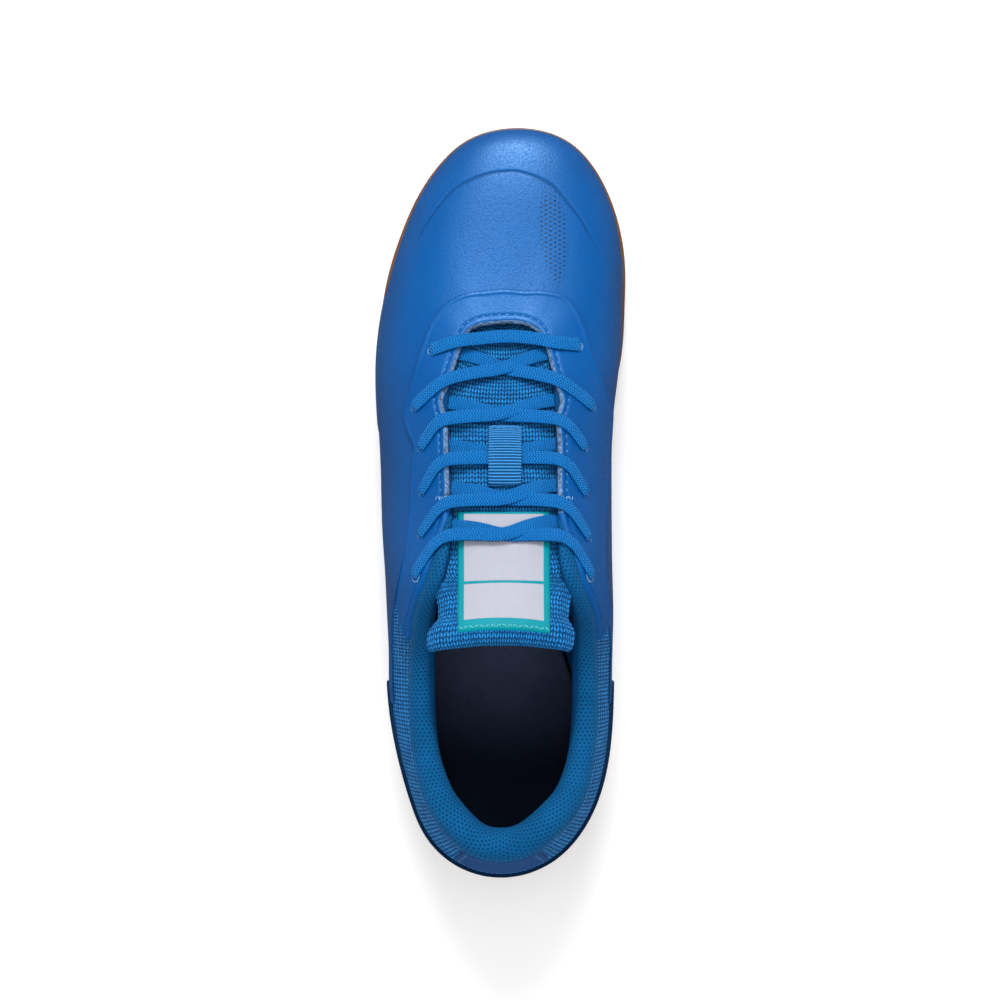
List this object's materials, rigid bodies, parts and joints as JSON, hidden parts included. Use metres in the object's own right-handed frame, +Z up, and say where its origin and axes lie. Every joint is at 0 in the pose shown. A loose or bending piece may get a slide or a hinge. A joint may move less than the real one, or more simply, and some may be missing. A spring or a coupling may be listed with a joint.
{
  "type": "indoor soccer shoe",
  "caption": "Low indoor soccer shoe for the left foot: gum cup sole, smooth upper with padded mesh collar, knit tongue and flat crossed lace.",
  "frame": {"origin": "centre of the bounding box on the floor, under the middle of the shoe", "axes": "+Y from heel to toe, +Z up from the floor, +X towards the inner side of the left foot"},
  "size_m": [0.0982, 0.29, 0.1109],
  "materials": {
    "gum_rubber": "satin gum rubber",
    "synthetic": "fine grained synthetic leather",
    "knit": "two-tone knit",
    "insole_cloth": "dark flat cloth",
    "lace_weave": "flat woven lace",
    "label_weave": "woven label"
  },
  "bodies": {
    "root": {"outsole": "gum_rubber", "upper": "synthetic", "insole": "insole_cloth", "tongue": "knit", "lace_saddle": "synthetic", "heel_counter": "synthetic", "heel_tab": "synthetic", "left_band": "synthetic", "right_band": "synthetic", "tongue_label": "label_weave", "lace_keeper": "lace_weave", "lace_bar": "lace_weave", "lace_cross_1": "lace_weave", "lace_cross_2": "lace_weave", "lace_cross_3": "lace_weave", "lace_cross_4": "lace_weave", "lace_cross_5": "lace_weave"}
  },
  "joints": []
}
